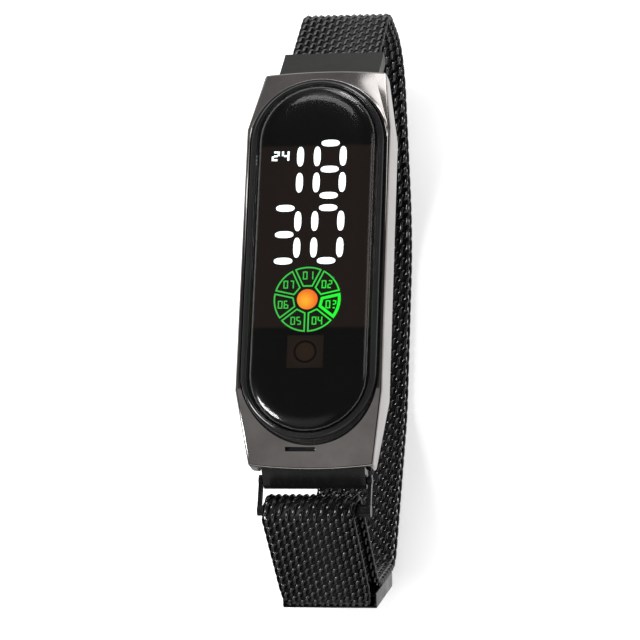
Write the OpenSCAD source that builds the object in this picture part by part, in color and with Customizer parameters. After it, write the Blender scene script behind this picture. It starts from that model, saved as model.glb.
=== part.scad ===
// LED band watch: metal case, sealed light capsule, folded mesh strap with a ring and a magnet clasp.
// Millimetres. The origin is the middle of the rear cover's skin face, +Z points out through the
// lens, +Y to twelve o'clock and +X to three o'clock.

/* [Capsule] */
// Half width of the capsule's flange, which is also the radius of its round ends
flange_r = 9.1; // [8.6:0.1:9.8]
// Straight length of the capsule between the centres of its round ends
capsule_run = 31.2; // [28:0.2:35]
// Radius of the capsule's narrow lower part
tub_r = 8.5; // [8.2:0.1:8.6]
// Wall of the capsule tub
tub_wall = 0.9; // [0.75:0.05:1]
// Radius of the lens at its ends
lens_r = 7.95; // [7.6:0.05:8.05]
// Height of the lens above the display film
lens_h = 2.1; // [1.6:0.1:2.6]
// Rounding of the lens edge
lens_round = 0.9; // [0.5:0.1:1.2]
// Gap between the capsule and the case pocket
pocket_gap = 0.1; // [0.05:0.01:0.2]

/* [Case] */
// Wall of the case beside the capsule
rim_wall = 0.55; // [0.45:0.05:1.2]
// Height of the metal case
case_h = 7.0; // [6.6:0.1:8]
// Distance of the case's underside from the skin face
rear_step = 1.0; // [0.9:0.05:1.1]
// Drop of the end facets at the ends of the case
facet_drop = 3.8; // [3:0.1:4.2]
// Half length of the straight sides
side_run = 18.05; // [16:0.1:19]
// Width of the case's ends
end_w = 16.6; // [16.2:0.1:18.4]
// Bulge of the curved end edges
end_bulge = 0.5; // [0.2:0.1:0.9]
// Wall between the capsule pocket and the strap link's slot
slot_web = 0.55; // [0.4:0.05:0.8]
// Metal outside the spring bar's axis at each end
lug_end = 1.2; // [1:0.1:1.8]
// Height of the spring bars above the case's underside
bar_rise = 1.0; // [0.9:0.05:1.2]

/* [Spring bars] */
// Radius of a spring bar's tube
tube_r = 0.65; // [0.6:0.01:0.7]
// Wall of a spring bar's tube
tube_wall = 0.2; // [0.15:0.01:0.22]
// Radius of a spring bar's pin
pin_r = 0.38; // [0.32:0.01:0.39]
// Reach of a pin into the case lug
pin_reach = 0.95; // [0.85:0.05:1]
// Running clearance round pins and tubes
run_gap = 0.04; // [0.02:0.01:0.06]

/* [Strap] */
// Width of the mesh
mesh_w = 12.4; // [11:0.1:12.5]
// Thickness of the mesh
mesh_t = 1.2; // [1:0.05:1.4]
// Distance between two rows of the mesh
row_step = 1.17; // [1:0.01:1.5]
// Depth of the grooves between the rows of the mesh
row_deep = 0.35; // [0.2:0.05:0.4]
// Width of the end links
link_w = 13.8; // [13.6:0.1:13.9]
// Radius of a link's knuckle
knuckle_r = 1.15; // [1.05:0.05:1.2]
// Clearance round a knuckle in its slot
slot_gap = 0.2; // [0.15:0.05:0.3]
// Slope of the upper link below the dial's plane, in degrees
link_tilt = 40; // [34:1:46]
// Length of the upper link from the bar to its mouth
link_len = 7.9; // [7:0.1:9]
// Thickness of the upper link
link_t = 2.0; // [1.8:0.05:2.1]
// Depth of the mesh in the upper link
mesh_seat = 2.6; // [2:0.1:3.2]
// Reach of the loop beyond the upper bar
top_reach = 16.2; // [15:0.1:18]
// Depth of the loop's shoulder below the skin face
shoulder_z = 25.7; // [24:0.1:27.5]
// Slope of the strap from its shoulder to its back, in degrees
shoulder_tilt = 32.6; // [30:0.2:36]
// Depth of the strap's flat back below the skin face
back_z = 40.9; // [39.5:0.1:43]
// Slope of the strap from its back to the clasp, in degrees
heel_tilt = 17.2; // [15:0.2:20]
// Bend radius below the upper link
top_bend = 6; // [4:0.5:10]
// Bend radius at the shoulder
shoulder_bend = 12; // [8:0.5:14]
// Bend radius into the back from the shoulder
back_bend = 26; // [16:1:30]
// Bend radius out of the back
heel_bend = 20; // [12:1:28]
// Bend radius below the clasp
foot_bend = 5; // [3:0.5:8]
// Bend radius above the clasp
clasp_bend_r = 10; // [6:0.5:14]
// Bend radius of the tail above the clasp
tail_bend_r = 3; // [2:0.5:5]

/* [Ring and clasp] */
// Drop of the ring's pivot below the lower bar
ring_drop = 2.3; // [2.1:0.1:2.5]
// Distance of the ring's pivot beyond the lower bar
ring_out = 2.2; // [2:0.1:2.5]
// Length of the ring from its pivot to its crossbar
ring_len = 4.1; // [4.05:0.05:4.6]
// Rise of the crossbar above the ring's pivot
ring_rise = 0.3; // [0.1:0.05:0.5]
// Radius of the crossbar
cross_r = 0.7; // [0.6:0.05:0.75]
// Play between the crossbar and the fold
fold_play = 0.35; // [0.3:0.05:0.4]
// Radius of the ring's pivot pin
ring_pin_r = 0.5; // [0.4:0.05:0.55]
// Thickness of a ring arm
arm_t = 0.5; // [0.4:0.05:0.6]
// Side clearance between a ring arm and the link
arm_gap = 0.15; // [0.1:0.05:0.2]
// Reach of the crossbar's end knob beyond the arm
knob_out = 0.05; // [0.05:0.05:0.3]
// Side clearance between the knob and the fold
knob_gap = 0.15; // [0.1:0.05:0.3]
// Sideways shift of the fold, tail and clasp in the ring
fold_shift = -0.6; // [-0.7:0.05:0]
// Slope of the two layers below the crossbar, in degrees
layer_tilt = 66.7; // [64:0.5:70]
// Length of the inner layer from the crossbar to the clasp's bend
layer_len = 20.1; // [19:0.1:21.5]
// Slope of the clasp, in degrees
clasp_tilt = 67.5; // [66:0.5:70]
// Straight run of the strap that the clasp lies along
clasp_run = 15.6; // [15:0.1:16.5]
// Length of the magnet clasp
clasp_l = 15.4; // [14:0.1:16]
// Width of the magnet clasp
clasp_w = 13.0; // [12.8:0.1:14]
// Thickness of the magnet clasp
clasp_t = 2.1; // [2.1:0.1:2.8]
// Thickness of the clasp's base plate
plate_t = 0.35; // [0.3:0.05:0.4]

/* [Display] */
// Sideways offset of the digits from the middle
digits_x = -1.12; // [-1.4:0.02:-0.6]
// Distance between the centres of two digits in a row
digit_pitch = 5.75; // [5.4:0.05:6]
// Distance between the two rows of digits
row_pitch = 9.06; // [8.9:0.02:9.3]
// Height of the upper row's centre line
row_y = 12.16; // [12:0.02:12.3]
// Distance between the columns of a digit
digit_w = 3.48; // [3.2:0.02:3.6]
// Distance between the bars of a digit
bar_step = 3.67; // [3.5:0.01:3.75]
// Thickness of a light segment
seg_t = 0.93; // [0.8:0.01:1]
// Sideways offset of the weekday wheel and the touch pad
wheel_x = -0.56; // [-1:0.02:0]
// Height of the weekday wheel's centre
wheel_y = -5.86; // [-6:0.02:-5.7]
// Outer radius of the weekday wheel
wheel_r = 4.45; // [4.2:0.01:4.55]
// Radius of the wheel's centre light
dot_r = 1.375; // [1.2:0.005:1.5]
// Width of the wheel's outlines
line_w = 0.19; // [0.15:0.01:0.24]
// Width of the touch pad
touch_w = 4.8; // [4.4:0.1:5]
// Height of the touch pad
touch_h = 4.4; // [4:0.1:4.6]
// Height of the touch pad's centre
touch_y = -13.0; // [-13.4:0.05:-12.9]
// Radius of the ring marked on the touch pad
mark_r = 1.55; // [1.2:0.05:1.9]
// Width of the ring marked on the touch pad
mark_w = 0.3; // [0.2:0.05:0.5]

/* [Inside] */
// Thickness of the circuit board
board_t = 0.8; // [0.6:0.05:1]
// Radius of the coin cell
cell_r = 5.0; // [4.6:0.05:5.1]
// Thickness of the coin cell
cell_t = 2.5; // [2.2:0.05:2.6]
// Height of the coin cell's centre along the watch
cell_y = -7.0; // [-8:0.1:-6]
// Half width of the rear cover
cover_r = 7.3; // [7.2:0.05:7.4]
// Thickness of the rear cover
cover_t = 1.3; // [1.2:0.05:1.4]
// Radius of a rear screw's head
screw_head_r = 0.7; // [0.6:0.02:0.74]
// Radius of a rear screw's shank
screw_r = 0.42; // [0.35:0.01:0.45]

/* [Hidden] */
$fn = 96;
eps = 0.01;
half_run = capsule_run / 2;

// Heights of the case and the capsule's layers above the skin face
case_top = rear_step + case_h;
flange_z = case_top - 3.0;
tub_top = case_top - 0.6;
film_t = 0.15;
film_top = tub_top + film_t;
ink_t = 0.03;
light_top = film_top;
lens_z = film_top + 0.07;
lens_top = lens_z + lens_h;
lens_crown = 0.15;
lens_shoulder = 2.6;
ring_rise_top = 0.85;
ring_top = case_top + ring_rise_top;
ring_gap = 0.05;
lip_w = 0.5;
lip_h = 0.7;
ridge_w = 0.1;
groove_deep = 0.1;
cavity_r = tub_r - tub_wall;
well_r = flange_r - 1.2;
film_r = well_r - 0.05;
floor_top = rear_step + 1.6;
board_z = flange_z - 0.4;
board_top = board_z + board_t;
board_r = well_r - 0.1;
chip_h = 0.5;
chip_top = board_top + chip_h;

// Case plan
pocket_r = flange_r + pocket_gap;
low_pocket_r = tub_r + pocket_gap;
case_r = pocket_r + rim_wall;
slot_r = knuckle_r + slot_gap;
bar_y = half_run + low_pocket_r + slot_web + slot_r;
bar_z = rear_step + bar_rise;
end_y = bar_y + lug_end;
end_arc_r = (pow(end_w / 2, 2) + pow(end_bulge, 2)) / (2 * end_bulge);
facet_angle = atan2(facet_drop, end_y - side_run);
slot_half = link_w / 2 + slot_gap;
collar_r = case_r - 0.22;
collar_draft = 1.0;
collar_h = facet_drop;
pry_x = -1.3;
pry_w = 3.9;
pry_l = 0.45;
pry_deep = 0.6;
pry_wall = 0.25;
pry_y = half_run + pocket_r + pry_wall;

// Spring bars
tube_bore = tube_r - tube_wall;
tube_half = link_w / 2 - 0.2;
tip_out = slot_half + pin_reach;
tip_in = 4.5;
tip_gap = 0.1;
shoulder_l = 1.0;
spring_wall = 0.12;
shoulder_r = tube_bore - run_gap / 2;
lip_l = 0.4;
link_bore = tube_r + run_gap;
lug_hole_r = pin_r + run_gap;

// Directions in the plane of the loop, as [y, z] pairs
function turn(a) = [cos(a), sin(a)];
function cross_to(v) = [-v[1], v[0]];
function unit(v) = v / norm(v);
function meet(p, u, q, w) = p + u * ((q - p) * cross_to(w)) / (u * cross_to(w));

upper_bar = [bar_y, bar_z];
lower_bar = [-bar_y, bar_z];
link_dir = turn(-link_tilt);
link_up = turn(90 - link_tilt);
mouth_t = 0.3;
mesh_off = knuckle_r - mouth_t - mesh_t / 2;
ring_pivot = lower_bar + [-ring_out, -ring_drop];
crossbar = ring_pivot + [-ring_len, ring_rise];
fold_in = cross_r + fold_play;
fold_mid = fold_in + mesh_t / 2;
fold_out = fold_in + mesh_t;
layer_dir = turn(180 + layer_tilt);
layer_out = turn(90 + layer_tilt);
clasp_dir = turn(-clasp_tilt);
clasp_out = turn(-90 - clasp_tilt);

// The strap's middle line, each row a corner [y, z] and its bend radius
strap_in = upper_bar + mesh_off * link_up + (link_len - mesh_seat) * link_dir;
top_corner = meet(strap_in, link_dir, [bar_y + top_reach, 0], [0, 1]);
shoulder = [bar_y + top_reach, -shoulder_z];
back_start = meet(shoulder, turn(180 + shoulder_tilt), [0, -back_z], [1, 0]);
inner_start = crossbar - fold_mid * layer_out;
clasp_bend = inner_start + layer_len * layer_dir;
heel = clasp_bend + clasp_run * clasp_dir;
back_end = meet(heel, turn(-heel_tilt), [0, -back_z], [1, 0]);
strap_path = [[strap_in, 0], [top_corner, top_bend], [shoulder, shoulder_bend],
    [back_start, back_bend], [back_end, heel_bend], [heel, foot_bend],
    [clasp_bend, clasp_bend_r], [inner_start, 0]];

// The tail's middle line, from the fold's outer side into the clasp
seat_gap = 0.05;
seat_play = 0.02;
clasp_mid = mesh_t / 2 + seat_gap + clasp_t / 2;
tail_start = crossbar + fold_mid * layer_out;
tail_bend = meet(tail_start, layer_dir, clasp_bend + clasp_mid * clasp_out, clasp_dir);
clasp_start = 1.5;
tail_seat = 2.8;
tail_end = tail_bend + (clasp_start + tail_seat) * clasp_dir;
tail_path = [[tail_start, 0], [tail_bend, tail_bend_r], [tail_end, 0]];

// Middle line and left-hand normal at each point of a path with rounded corners
function bend(a, b, c, r) =
    let (u = unit(a - b), w = unit(c - b), half = acos(u * w) / 2,
        r = min(r, 0.49 * min(norm(a - b), norm(c - b)) * tan(half)),
        mid = b + unit(u + w) * r / sin(half),
        from = b + u * r / tan(half) - mid,
        side = cross_to(unit(b - a)) * from > 0 ? -1 : 1,
        sweep = 180 - 2 * half, steps = max(2, ceil(sweep / 4)), start = atan2(from[1], from[0]))
    [for (i = [0:steps]) let (q = turn(start + side * sweep * i / steps)) [mid + r * q, -side * q]];
function walk(path) = let (n = len(path)) [
    [path[0][0], cross_to(unit(path[1][0] - path[0][0]))],
    for (i = [1:1:n - 2])
        each bend(path[i - 1][0], path[i][0], path[i + 1][0], path[i][1]),
    [path[n - 1][0], cross_to(unit(path[n - 1][0] - path[n - 2][0]))]];

module along_x(w) {
    rotate([90, 0, 90]) linear_extrude(w, center = true) children();
}

// The same points as rows of [length along the path, y, z, normal y, normal z]
function measured(pts) = [for (s = 0, i = 0; i < len(pts);
    s = s + (i < len(pts) - 1 ? norm(pts[i + 1][0] - pts[i][0]) : 0), i = i + 1)
    [s, pts[i][0][0], pts[i][0][1], pts[i][1][0], pts[i][1][1]]];
function column(rows, k) = [for (r = rows) [r[0], r[k]]];

// Mesh band. Its rows show as flat-topped ribs: where a rib rises and falls, as parts of its pitch,
// with 1 for full thickness and 0 for the groove. The flat back stays plain, so that it rests well.
rib_steps = [[0.02, 1], [0.52, 1], [0.64, 0], [0.88, 0]];
flat_limit = 0.9999;
module band(path, w, t) {
    rows = measured(walk(path));
    place = [for (k = [1:4]) column(rows, k)];
    total = rows[len(rows) - 1][0];
    count = round(total / row_step);
    marks = [[0, 1], for (i = [0:count - 1], m = rib_steps) [(i + m[0]) * total / count, m[1]],
        [total, 0]];
    pts = [for (m = marks) let (n = [lookup(m[0], place[2]), lookup(m[0], place[3])])
        [[lookup(m[0], place[0]), lookup(m[0], place[1])], n / norm(n), t / 2 - row_deep * (1 - m[1])]];
    along_x(w) polygon([
        for (p = pts) p[0] + p[1] * (p[1][1] < -flat_limit ? t / 2 : p[2]),
        for (i = [len(pts) - 1:-1:0]) pts[i][0] - pts[i][1] * pts[i][2]]);
}

// The fold and what follows it lie a little to one side in the ring
module aside() {
    translate([fold_shift, 0, 0]) children();
}

module rod(at, r, x0, x1) {
    translate([x0, at[0], at[1]]) rotate([0, 90, 0]) cylinder(h = x1 - x0, r = r);
}

// Solid with straight sides and round ends, the watch's basic plan
module pill(r, z0, z1, run = half_run) {
    for (s = [-1, 1]) translate([0, s * run, z0]) cylinder(h = z1 - z0, r = r);
    translate([-r, -run, z0]) cube([2 * r, 2 * run, z1 - z0]);
}

// The same plan with a profile of [radius, z] points carried round it
module pill_profile(points) {
    for (s = [0, 180]) rotate([0, 0, s]) {
        translate([0, half_run, 0]) rotate_extrude(angle = 180) polygon(points);
        translate([0, half_run, 0]) rotate([90, 0, 0]) linear_extrude(2 * half_run) polygon(points);
    }
}

// Case

module case_plan(z0, z1) {
    reach = end_y + end_bulge;
    intersection() {
        translate([0, 0, z0]) linear_extrude(z1 - z0) polygon([
            [case_r, side_run], [end_w / 2, end_y], [end_w / 2, reach], [-end_w / 2, reach],
            [-end_w / 2, end_y], [-case_r, side_run], [-case_r, -side_run], [-end_w / 2, -end_y],
            [-end_w / 2, -reach], [end_w / 2, -reach], [end_w / 2, -end_y], [case_r, -side_run]]);
        translate([0, reach - end_arc_r, z0]) cylinder(h = z1 - z0, r = end_arc_r);
        translate([0, end_arc_r - reach, z0]) cylinder(h = z1 - z0, r = end_arc_r);
    }
}

module facet_cut() {
    for (s = [0, 180]) rotate([0, 0, s]) translate([0, side_run, case_top])
        rotate([-facet_angle, 0, 0]) translate([-2 * case_r, 0, 0])
            cube([4 * case_r, 2 * case_r, case_h]);
}

// Rim that stands out of the upper facet round the capsule; the lower facet has none
module collar() {
    intersection() {
        case_plan(rear_step, case_top);
        translate([0, half_run, case_top - collar_h])
            cylinder(h = collar_h, r1 = collar_r + collar_draft, r2 = collar_r);
    }
}

// Shallow slot in the lower facet where a nail lifts the capsule out
module pry_slot() {
    facet_z = case_top - (pry_y - side_run) * tan(facet_angle);
    translate([pry_x - pry_w / 2, -pry_y - pry_l, facet_z - pry_deep])
        cube([pry_w, pry_l, 2 * pry_deep]);
}

module link_slot(side) {
    at = [side * bar_y, bar_z];
    out = 2 * (lug_end + end_bulge);
    down = 2 * bar_rise;
    rod(at, slot_r, -slot_half, slot_half);
    translate([-slot_half, side > 0 ? at[0] : at[0] - out, bar_z - slot_r])
        cube([2 * slot_half, out, 2 * slot_r]);
    translate([-slot_half, side > 0 ? at[0] - slot_r : at[0] - out, bar_z - slot_r - down])
        cube([2 * slot_half, out + slot_r, slot_r + down]);
    for (s = [-1, 1]) rod(at, lug_hole_r, s > 0 ? slot_half - eps : -tip_out - tip_gap,
        s > 0 ? tip_out + tip_gap : eps - slot_half);
}

module case_frame() {
    color([0.30, 0.29, 0.30]) difference() {
        union() {
            difference() {
                case_plan(rear_step, case_top);
                facet_cut();
            }
            collar();
        }
        pill(low_pocket_r, 0, case_top + 1);
        pill(pocket_r, flange_z, case_top + 1);
        link_slot(1);
        link_slot(-1);
        pry_slot();
    }
}

// Capsule

cover_gap = 0.1;
cover_pocket = cover_r + cover_gap;
cover_seat = cover_t + 0.3;
hatch_r = cell_r + 0.3;
hatch_run = half_run - 1.5;
gasket_in = hatch_r + 0.15;
gasket_out = gasket_in + 0.4;
screw_ring = cover_r - screw_head_r - 0.45;
screw_spots = [for (sx = [-1, 1], sy = [-1, 1])
    [sx * screw_ring * cos(45), sy * (half_run + screw_ring * sin(45))]];
screw_top = floor_top - 0.2;

module capsule_shell() {
    color([0.05, 0.05, 0.055]) difference() {
        union() {
            pill(tub_r, rear_step, flange_z + eps);
            pill(flange_r, flange_z, tub_top);
        }
        pill(cavity_r, floor_top, board_z + eps);
        pill(well_r, board_z, tub_top + 1);
        pill(cover_pocket, rear_step - 1, cover_seat);
        pill(hatch_r, rear_step - 1, floor_top + 1, hatch_run);
        for (p = screw_spots) translate([p[0], p[1], cover_seat - 1])
            cylinder(h = screw_top - cover_seat + 1.05, r = screw_r + run_gap / 2);
    }
}

// The ring's top is a rounded lip, a groove, a low ridge and a slope down to the lens
module bezel_ring() {
    out_r = flange_r - ring_gap;
    in_r = lens_r + ring_gap;
    lip_r = out_r - lip_w;
    color([0.04, 0.04, 0.045]) pill_profile([
        [in_r, tub_top], [out_r, tub_top], [out_r, case_top - groove_deep],
        [out_r - lip_w / 4, case_top + lip_h / 2], [lip_r + lip_w / 4, ring_top - groove_deep],
        [lip_r, ring_top], [lip_r - ridge_w, ring_top - groove_deep / 4],
        [lip_r - 1.5 * ridge_w, ring_top - groove_deep],
        [lip_r - 2.5 * ridge_w, ring_top - groove_deep / 2],
        [lip_r - 3.5 * ridge_w, ring_top - groove_deep], [in_r, ring_top - 2 * groove_deep]]);
}

module lens() {
    edge = lens_top - lens_round - lens_crown;
    color([0.10, 0.10, 0.12, 0.6]) pill_profile(concat(
        [[0, lens_z], [lens_r, lens_z], [lens_r, edge]],
        [for (a = [10:10:80]) [lens_r - lens_round + lens_round * cos(a), edge + lens_round * sin(a)]],
        [[lens_r - lens_round, edge + lens_round], [lens_r - lens_shoulder, lens_top - lens_crown / 4],
            [0, lens_top]]));
}

// Display

// A rounded bar: a circle's outline drawn with a power below 1, which fills out its corners
bar_power = 0.82;
function fill_out(v) = sign(v) * pow(abs(v), bar_power);
module seg_shape(l, t, grow) {
    polygon([for (i = [0:15]) let (a = i * 22.5 + 11.25)
        [(l / 2 + grow) * fill_out(cos(a)), (t / 2 + grow) * fill_out(sin(a))]]);
}

seg_space_w = 1.03;
seg_space_h = 0.92;
seg_l = digit_w - seg_space_w;
seg_h = bar_step - seg_space_h;
seg_clear = 0.02;
well_clear = 0.06;
// Segments in the order top, upper right, lower right, bottom, lower left, upper left, middle
function seg_at(i) = [[0, bar_step], [digit_w / 2, bar_step / 2], [digit_w / 2, -bar_step / 2],
    [0, -bar_step], [-digit_w / 2, -bar_step / 2], [-digit_w / 2, bar_step / 2], [0, 0]][i];
function seg_upright(i) = i == 1 || i == 2 || i == 4 || i == 5;
digit_spots = [for (row = [0, 1], col = [0, 1])
    [digits_x + (col - 0.5) * digit_pitch, row_y - row * row_pitch]];
lit = [[1, 2], [0, 1, 2, 3, 4, 5, 6], [0, 1, 2, 3, 6], [0, 1, 2, 3, 4, 5]];
function is_lit(d, i) = len([for (k = lit[d]) if (k == i) k]) > 0;

module each_segment(want_lit) {
    for (d = [0:3], i = [0:6]) if (is_lit(d, i) == want_lit)
        translate([digit_spots[d][0] + seg_at(i)[0], digit_spots[d][1] + seg_at(i)[1], 0])
            rotate([0, 0, seg_upright(i) ? 90 : 0]) children(seg_upright(i) ? 1 : 0);
}

module seg_set(want_lit, z0, z1, grow) {
    translate([0, 0, z0]) each_segment(want_lit) {
        linear_extrude(z1 - z0) seg_shape(seg_l, seg_t, grow);
        linear_extrude(z1 - z0) seg_shape(seg_h, seg_t, grow);
    }
}

module digit_lights() {
    color([0.92, 0.98, 1.0]) seg_set(true, chip_top, light_top, 0);
}

module unlit_segments() {
    color([0.12, 0.12, 0.13]) seg_set(false, chip_top, tub_top, 0);
}

// Small plain figures made of straight strokes, in the same order of strokes as a digit
small_on = [[0, 1, 2, 3, 4, 5], [1, 2], [0, 1, 6, 4, 3], [0, 1, 6, 2, 3], [5, 6, 1, 2],
    [0, 5, 6, 2, 3], [0, 5, 6, 4, 3, 2], [0, 1, 2]];
stroke_gap = 0.04;
module figure(n, w, h, stroke, z0, z1) {
    for (i = small_on[n]) {
        up = seg_upright(i);
        x = up ? (i < 3 ? 1 : -1) * (w - stroke) / 2 : 0;
        y = up ? (i == 1 || i == 5 ? 1 : -1) * h / 4 : (i == 0 ? 1 : i == 3 ? -1 : 0) * (h - stroke) / 2;
        sx = up ? stroke : w - 2 * stroke - stroke_gap;
        sy = up ? h / 2 - stroke_gap : stroke;
        translate([x - sx / 2, y - sy / 2, z0]) cube([sx, sy, z1 - z0]);
    }
}

number_x = digits_x - digit_pitch / 2 - 0.9;
number_y = row_y + bar_step / 2 + 0.1;
number_h = 1.35;
number_w = 1.0;
number_pitch = 1.3;
number_stroke = 0.26;
module number_light() {
    color([0.92, 0.98, 1.0]) for (k = [0, 1])
        translate([number_x + (k - 0.5) * number_pitch, number_y, 0])
            figure(k == 0 ? 2 : 4, number_w, number_h, number_stroke, film_top, film_top + ink_t);
}

sector_half = 180 / 7;
sector_gap = 0.15;
sector_in = 1.72;
day_ring = 3.26;
day_pitch = 0.78;
day_w = 0.62;
day_h = 1.1;
day_stroke = 0.15;
// Outline of one weekday sector about the +X axis, drawn in from its border by a stroke
module sector_shape(inset) {
    g = sector_gap + inset;
    out = wheel_r - inset;
    t = (sector_in + inset - g * sin(sector_half)) / cos(sector_half);
    inner = t * turn(sector_half) + g * turn(sector_half - 90);
    swing = sector_half - asin(g / out);
    polygon(concat([[inner[0], -inner[1]]], [for (i = [-4:4]) out * turn(swing * i / 4)], [inner]));
}

module weekday_lights() {
    color([0.15, 0.85, 0.25]) translate([wheel_x, wheel_y, 0]) for (k = [0:6]) {
        bold = k == 2 ? 2 : 1;
        a = 90 - k * 360 / 7;
        rotate([0, 0, a]) translate([0, 0, film_top - ink_t]) linear_extrude(2 * ink_t) difference() {
            sector_shape(0);
            sector_shape(line_w * bold);
        }
        for (j = [0, 1]) translate([day_ring * cos(a) + (j - 0.5) * day_pitch, day_ring * sin(a), 0])
            figure(j == 0 ? 0 : k + 1, day_w, day_h, day_stroke, film_top - ink_t, film_top + ink_t);
    }
}

window_gap = 0.02;
disc_edge = 0.1;
disc_seat = 0.3;
module wheel_disc() {
    color([0.03, 0.05, 0.03]) translate([wheel_x, wheel_y, tub_top]) difference() {
        cylinder(h = film_t - ink_t, r = wheel_r + disc_edge);
        translate([0, 0, -1]) cylinder(h = 3, r = dot_r + window_gap);
    }
}

module pulse_light() {
    color([1.0, 0.55, 0.08]) translate([wheel_x, wheel_y, chip_top])
        cylinder(h = light_top - chip_top, r = dot_r);
}

module display_film() {
    color([0.03, 0.028, 0.028]) difference() {
        pill(film_r, tub_top, film_top);
        seg_set(true, tub_top - 1, film_top + 1, seg_clear);
        translate([wheel_x, wheel_y, tub_top - 1]) cylinder(h = 3, r = wheel_r + disc_edge + window_gap);
    }
}

// A plain ring marks the middle of the touch pad
module touch_pad() {
    color([0.20, 0.13, 0.09]) translate([wheel_x, touch_y, film_top]) difference() {
        translate([-touch_w / 2, -touch_h / 2, 0]) cube([touch_w, touch_h, ink_t]);
        translate([0, 0, -1]) difference() {
            cylinder(h = 3, r = mark_r);
            translate([0, 0, -1]) cylinder(h = 5, r = mark_r - mark_w);
        }
    }
}

module light_frame() {
    frame_r = board_r;
    color([0.08, 0.08, 0.085]) difference() {
        pill(frame_r, board_top, tub_top);
        for (lights = [true, false]) seg_set(lights, board_top - 1, tub_top + 1, well_clear);
        translate([wheel_x, wheel_y, board_top - 1])
            cylinder(h = tub_top - board_top + 2, r = wheel_r - disc_seat);
    }
}

// Inside

module main_board() {
    color([0.10, 0.30, 0.16]) pill(board_r, board_z, board_top);
}

led_l = 0.9;
led_w = 0.5;
led_ring = 2.9;
module led_chips() {
    chip = [led_l, led_w, chip_h];
    color([0.95, 0.93, 0.80]) {
        for (lights = [true, false]) translate([0, 0, board_top]) each_segment(lights) {
            translate([-chip[0] / 2, -chip[1] / 2, 0]) cube(chip);
            translate([-chip[0] / 2, -chip[1] / 2, 0]) cube(chip);
        }
        for (k = [0:6]) let (a = 90 - k * 360 / 7)
            translate([wheel_x + led_ring * cos(a) - chip[0] / 2,
                wheel_y + led_ring * sin(a) - chip[1] / 2, board_top]) cube(chip);
        translate([wheel_x - chip[0] / 2, wheel_y - chip[1] / 2, board_top]) cube(chip);
    }
}

module controller_chip() {
    s = 4.0;
    h = 0.9;
    chip_y = cell_y + cell_r + 7.5;
    color([0.09, 0.09, 0.10]) translate([-s / 2, chip_y - s / 2, board_z - h]) cube([s, s, h]);
}

module crystal() {
    l = 3.2;
    w = 1.5;
    h = 0.9;
    can_y = cell_y + cell_r + 13;
    color([0.75, 0.75, 0.76]) translate([0, can_y, board_z - h / 2]) intersection() {
        cube([l, w, h], center = true);
        rotate([0, 90, 0]) cylinder(h = 2 * l, r = 0.58 * w, center = true);
    }
}

cell_z = cover_t + 0.05;
module coin_cell() {
    crown = 0.3;
    color([0.78, 0.78, 0.80]) translate([0, cell_y, cell_z]) {
        cylinder(h = crown, r = cell_r - 3 * crown);
        translate([0, 0, crown]) cylinder(h = cell_t - crown, r = cell_r);
    }
}

// Two sprung strips join the cell to the board
strip_t = 0.15;
strip_w = 2.4;
strip_gap = 0.02;
module battery_spring() {
    low = cell_z + cell_t + strip_gap;
    half = strip_w / 2;
    color([0.85, 0.70, 0.35]) translate([-half, cell_y - half, 0]) {
        translate([0, 0, board_z - strip_t]) cube([strip_w, strip_w, strip_t]);
        translate([0, strip_w - strip_t, low]) cube([strip_w, strip_t, board_z - strip_t - low]);
        translate([0, 0, low]) cube([strip_w, strip_w - strip_t, strip_t]);
    }
}

module battery_clip() {
    side_y = cell_y + cell_r + strip_gap;
    low = cell_z + 0.6 * cell_t;
    foot = 1.2;
    color([0.85, 0.70, 0.35]) translate([-strip_w / 2, side_y, 0]) {
        translate([0, 0, low]) cube([strip_w, strip_t, board_z - low]);
        translate([0, strip_t, board_z - strip_t]) cube([strip_w, foot, strip_t]);
    }
}

module rear_gasket() {
    color([0.12, 0.12, 0.12]) difference() {
        pill(gasket_out, cover_t, cover_seat, hatch_run);
        pill(gasket_in, cover_t - 1, cover_seat + 1, hatch_run);
    }
}

screw_head_h = 0.4;
screw_sink = 0.1;
module rear_cover() {
    lead = 0.3;
    color([0.07, 0.07, 0.075]) difference() {
        pill_profile([[0, 0], [cover_r - lead, 0], [cover_r, lead], [cover_r, cover_t], [0, cover_t]]);
        for (p = screw_spots) translate([p[0], p[1], 0]) {
            translate([0, 0, -1]) cylinder(h = 1 + screw_sink + screw_head_h, r = screw_head_r + 0.05);
            cylinder(h = cover_t + 1, r = screw_r + 0.05);
        }
    }
}

module rear_screws() {
    slot_depth = 0.18;
    cross_l = 0.9;
    cross_w = 0.16;
    color([0.70, 0.70, 0.72]) for (p = screw_spots) translate([p[0], p[1], screw_sink])
        difference() {
            union() {
                cylinder(h = screw_head_h, r = screw_head_r);
                cylinder(h = screw_top - screw_sink, r = screw_r);
            }
            for (a = [0, 90]) rotate([0, 0, a]) translate([-cross_l / 2, -cross_w / 2, -1])
                cube([cross_l, cross_w, 1 + slot_depth]);
        }
}

// Spring bars

module bar_tube(at) {
    difference() {
        rod(at, tube_r, -tube_half, tube_half);
        rod(at, tube_bore, lip_l - tube_half, tube_half - lip_l);
        rod(at, pin_r + run_gap / 2, -tube_half - 1, tube_half + 1);
    }
}

module bar_spring(at) {
    reach = tip_in - run_gap;
    difference() {
        rod(at, tube_bore - run_gap, -reach, reach);
        rod(at, tube_bore - run_gap - spring_wall, -reach - 1, reach + 1);
    }
}

module bar_tip(at, side) {
    rod(at, shoulder_r, side > 0 ? tip_in : -tip_in - shoulder_l,
        side > 0 ? tip_in + shoulder_l : -tip_in);
    rod(at, pin_r, side > 0 ? tip_in : -tip_out, side > 0 ? tip_out : -tip_in);
}

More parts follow.
